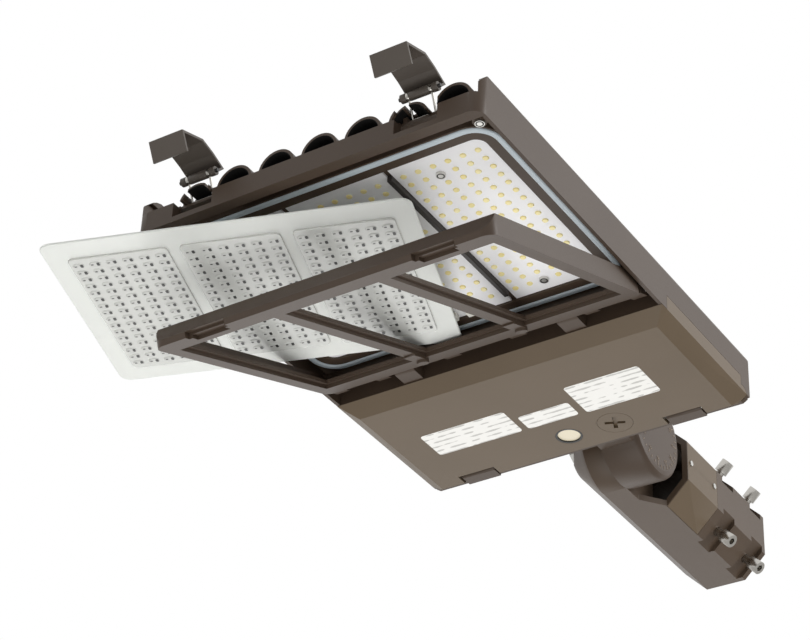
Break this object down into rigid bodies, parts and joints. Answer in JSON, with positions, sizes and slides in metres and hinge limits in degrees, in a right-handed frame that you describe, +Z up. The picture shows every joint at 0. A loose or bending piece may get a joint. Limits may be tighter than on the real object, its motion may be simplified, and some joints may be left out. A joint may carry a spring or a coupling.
{
  "type": "shoebox area light",
  "caption": "Shoebox area light with finned housing, hinged optic door and lens, driver cover, draw latches and tilting slipfitter arm",
  "frame": {"origin": "Centre of the tenon socket's mouth, on the slipfitter's axis", "axes": "+Z up, +Y along the slipfitter's axis towards the pole, +X across the light"},
  "size_m": [0.4159, 0.7412, 0.1613],
  "materials": {
    "bronze_casting": "fine textured dark bronze powder coat on die cast aluminium",
    "bronze_sheet": "dark bronze powder coat on sheet metal",
    "zinc_screws": "zinc plated steel",
    "stainless": "stainless steel",
    "silicone_seal": "blue grey silicone",
    "white_board": "white solder mask",
    "black_plastic": "dark moulded plastic",
    "white_plastic": "white moulded plastic",
    "lead_sleeve": "wire insulation",
    "driver_case": "anodised case",
    "sensor_diffuser": "cream diffuser",
    "clear_acrylic": "clear moulded optic"
  },
  "bodies": {
    "arm": {"slipfitter_arm": "bronze_casting", "arm_wiring_cover": "bronze_sheet", "wiring_cover_screws": "zinc_screws", "tenon_set_screws": "stainless", "knuckle_bolt": "zinc_screws", "knuckle_washer": "zinc_screws"},
    "head": {"housing": "bronze_casting", "lens_gasket": "silicone_seal", "led_board_left": "white_board", "led_board_centre": "white_board", "led_board_right": "white_board", "board_screws": "zinc_screws", "board_divider_left": "black_plastic", "board_divider_right": "black_plastic", "board_connectors": "white_plastic", "led_leads": "lead_sleeve", "led_driver": "driver_case", "driver_screws": "zinc_screws", "surge_protector": "black_plastic", "terminal_block": "white_plastic", "corner_screws": "zinc_screws", "door_hinge_pins": "stainless", "cover_hinge_pins": "stainless"},
    "cover": {"driver_cover": "bronze_sheet", "cover_plug": "bronze_sheet", "sensor_window": "sensor_diffuser", "sensor_ring": "black_plastic"},
    "door": {"lens_frame": "bronze_casting"},
    "lens": {"optic_lens": "clear_acrylic"},
    "bail_left": {"latch_bail_left": "stainless"},
    "bail_right": {"latch_bail_right": "stainless"},
    "lever_left": {"latch_lever_left": "bronze_sheet", "latch_pin_left": "black_plastic"},
    "lever_right": {"latch_lever_right": "bronze_sheet", "latch_pin_right": "black_plastic"}
  },
  "joints": [
    {"name": "knuckle_tilt", "type": "hinge", "parent": "arm", "child": "head", "pos_m": [0.02145, -0.2084, 0], "axis": [1, 0, 0], "range_deg": [-90, 90]},
    {"name": "door_hinge", "type": "hinge", "parent": "head", "child": "door", "pos_m": [0, -0.426, -0.0221], "axis": [1, 0, 0], "range_deg": [0, 69.26]},
    {"name": "lens_withdraw", "type": "slide", "parent": "head", "child": "lens", "axis": [-0.9323, -0.359, -0.0443], "range_m": [0, 0.2]},
    {"name": "cover_hinge", "type": "hinge", "parent": "head", "child": "cover", "pos_m": [0, -0.2735, -0.0346], "axis": [1, 0, 0], "range_deg": [0, 75]},
    {"name": "bail_left_pivot", "type": "hinge", "parent": "head", "child": "bail_left", "pos_m": [-0.0975, -0.673, -0.0081], "axis": [1, 0, 0], "range_deg": [0, 60]},
    {"name": "lever_left_pivot", "type": "hinge", "parent": "bail_left", "child": "lever_left", "pos_m": [-0.0975, -0.68, 0.0087], "axis": [1, 0, 0], "range_deg": [0, 40]},
    {"name": "bail_right_pivot", "type": "hinge", "parent": "head", "child": "bail_right", "pos_m": [0.0975, -0.673, -0.0081], "axis": [1, 0, 0], "range_deg": [0, 60]},
    {"name": "lever_right_pivot", "type": "hinge", "parent": "bail_right", "child": "lever_right", "pos_m": [0.0975, -0.68, 0.0087], "axis": [1, 0, 0], "range_deg": [0, 40]}
  ],
  "couplings": [
    {"joint": "lever_left_pivot", "follows": "bail_left_pivot", "ratio": 0.66667},
    {"joint": "lever_right_pivot", "follows": "bail_right_pivot", "ratio": 0.66667}
  ]
}
